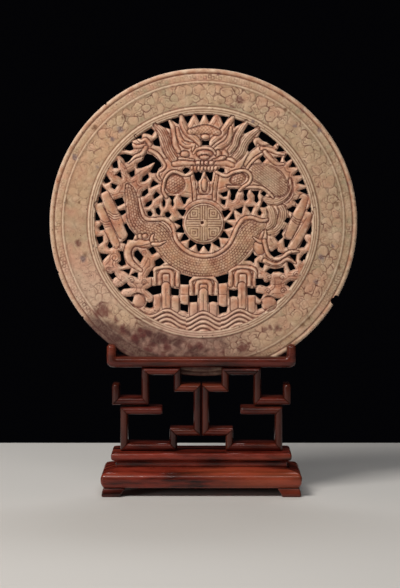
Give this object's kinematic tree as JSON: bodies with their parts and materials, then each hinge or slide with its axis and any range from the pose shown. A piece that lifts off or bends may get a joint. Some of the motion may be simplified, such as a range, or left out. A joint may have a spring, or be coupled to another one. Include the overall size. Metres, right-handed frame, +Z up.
{
  "type": "carved disc on stand",
  "caption": "Round carved stone disc with a pierced dragon openwork and banded ring, upright in the slotted rail of a wooden fretwork stand.",
  "frame": {"origin": "on the surface the feet stand on, under the middle of the disc", "axes": "+Z up, -Y towards the carved front, +X to the right seen from the front"},
  "size_m": [0.2994, 0.08, 0.413],
  "materials": {
    "stone": "waxed soft stone, tan with pink and grey patches and dark stains",
    "stand_wood": "polished dark red-brown rosewood"
  },
  "bodies": {
    "root": {"bi_disc": "stone", "rail": "stand_wood", "fret_left_hook": "stand_wood", "fret_left_shelf": "stand_wood", "fret_left_riser": "stand_wood", "fret_left_top_bar": "stand_wood", "fret_left_drop": "stand_wood", "fret_left_inner_bar": "stand_wood", "fret_left_post": "stand_wood", "fret_left_inner_foot": "stand_wood", "fret_left_step": "stand_wood", "fret_left_foot_bar": "stand_wood", "fret_left_outer_post": "stand_wood", "fret_left_tongue": "stand_wood", "fret_right_hook": "stand_wood", "fret_right_shelf": "stand_wood", "fret_right_riser": "stand_wood", "fret_right_top_bar": "stand_wood", "fret_right_drop": "stand_wood", "fret_right_inner_bar": "stand_wood", "fret_right_post": "stand_wood", "fret_right_inner_foot": "stand_wood", "fret_right_step": "stand_wood", "fret_right_foot_bar": "stand_wood", "fret_right_outer_post": "stand_wood", "fret_right_tongue": "stand_wood", "base_plate": "stand_wood", "waist": "stand_wood", "plinth": "stand_wood", "foot_front_left": "stand_wood", "foot_front_right": "stand_wood", "foot_back_left": "stand_wood", "foot_back_right": "stand_wood"}
  },
  "joints": []
}
